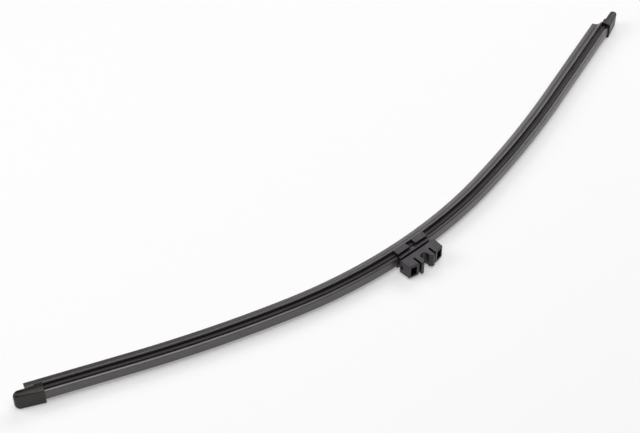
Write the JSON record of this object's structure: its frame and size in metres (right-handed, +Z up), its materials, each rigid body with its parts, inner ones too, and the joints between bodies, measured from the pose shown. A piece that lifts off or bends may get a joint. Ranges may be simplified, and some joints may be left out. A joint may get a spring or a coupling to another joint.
{
  "type": "wiper blade",
  "caption": "Bowed flat wiper blade for a rear window: a rubber lip on spring rails between end caps, with a clip-in pin seat for the wiper arm.",
  "frame": {"origin": "middle of the pin seat, on the axis of the wiper arm's pin", "axes": "+X along the blade at its connector, +Y from the arm's pin towards the wiping lip, +Z up as the blade lies on its side"},
  "size_m": [0.3909, 0.0675, 0.0094],
  "materials": {
    "rubber": "extruded black rubber with a satin graphite sheen",
    "rail_steel": "black coated spring steel",
    "cap_plastic": "satin moulded black plastic",
    "connector_plastic": "fine-grained moulded black plastic"
  },
  "bodies": {
    "root": {"wiper_rubber": "rubber", "upper_rail": "rail_steel", "lower_rail": "rail_steel", "near_end_cap": "cap_plastic", "far_end_cap": "cap_plastic", "connector_base": "connector_plastic", "pin_adapter": "connector_plastic"}
  },
  "joints": []
}
